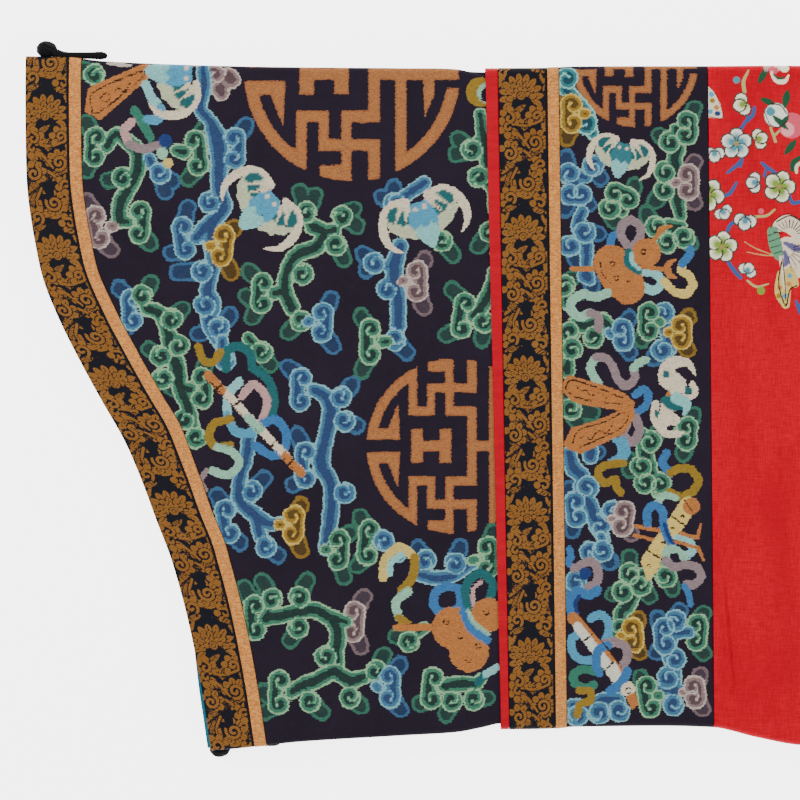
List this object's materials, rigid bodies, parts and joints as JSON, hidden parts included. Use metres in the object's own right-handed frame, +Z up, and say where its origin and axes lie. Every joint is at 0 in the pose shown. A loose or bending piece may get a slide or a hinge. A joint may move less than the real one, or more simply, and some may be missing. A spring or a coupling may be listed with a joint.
{
  "type": "kesi robe, folded",
  "caption": "Folded silk tapestry robe lying flat, its sleeve on top with a wide turned-back cuff, brocade borders and knot buttons.",
  "frame": {"origin": "centre of the bounding box at the plane the robe rests on", "axes": "+X along the top sleeve from the buttoned edge to its mouth, +Y from the underarm fold to the shoulder fold, +Z up"},
  "size_m": [0.5048, 0.3878, 0.0237],
  "materials": {
    "kesi_ground": "silk tapestry weave, dark aubergine ground with coloured clouds",
    "brocade": "gold-coloured lotus scroll on black, satin",
    "ribbon": "narrow woven ribbon, tan",
    "lining": "plain silk, teal",
    "cuff_silk": "plain red silk, embroidered near the shoulder fold",
    "button_cloth": "black bias cord, knotted"
  },
  "bodies": {
    "root": {"folded_body": "kesi_ground", "border_brocade": "brocade", "border_ribbon": "ribbon", "sleeve_kesi": "kesi_ground", "sleeve_lining": "lining", "cuff_edge": "cuff_silk", "cuff_brocade": "brocade", "cuff_ribbon": "ribbon", "cuff_kesi": "kesi_ground", "cuff_silk": "cuff_silk", "button_upper_knot": "button_cloth", "button_upper_strip": "button_cloth", "button_lower_knot": "button_cloth", "button_lower_strip": "button_cloth"}
  },
  "joints": []
}
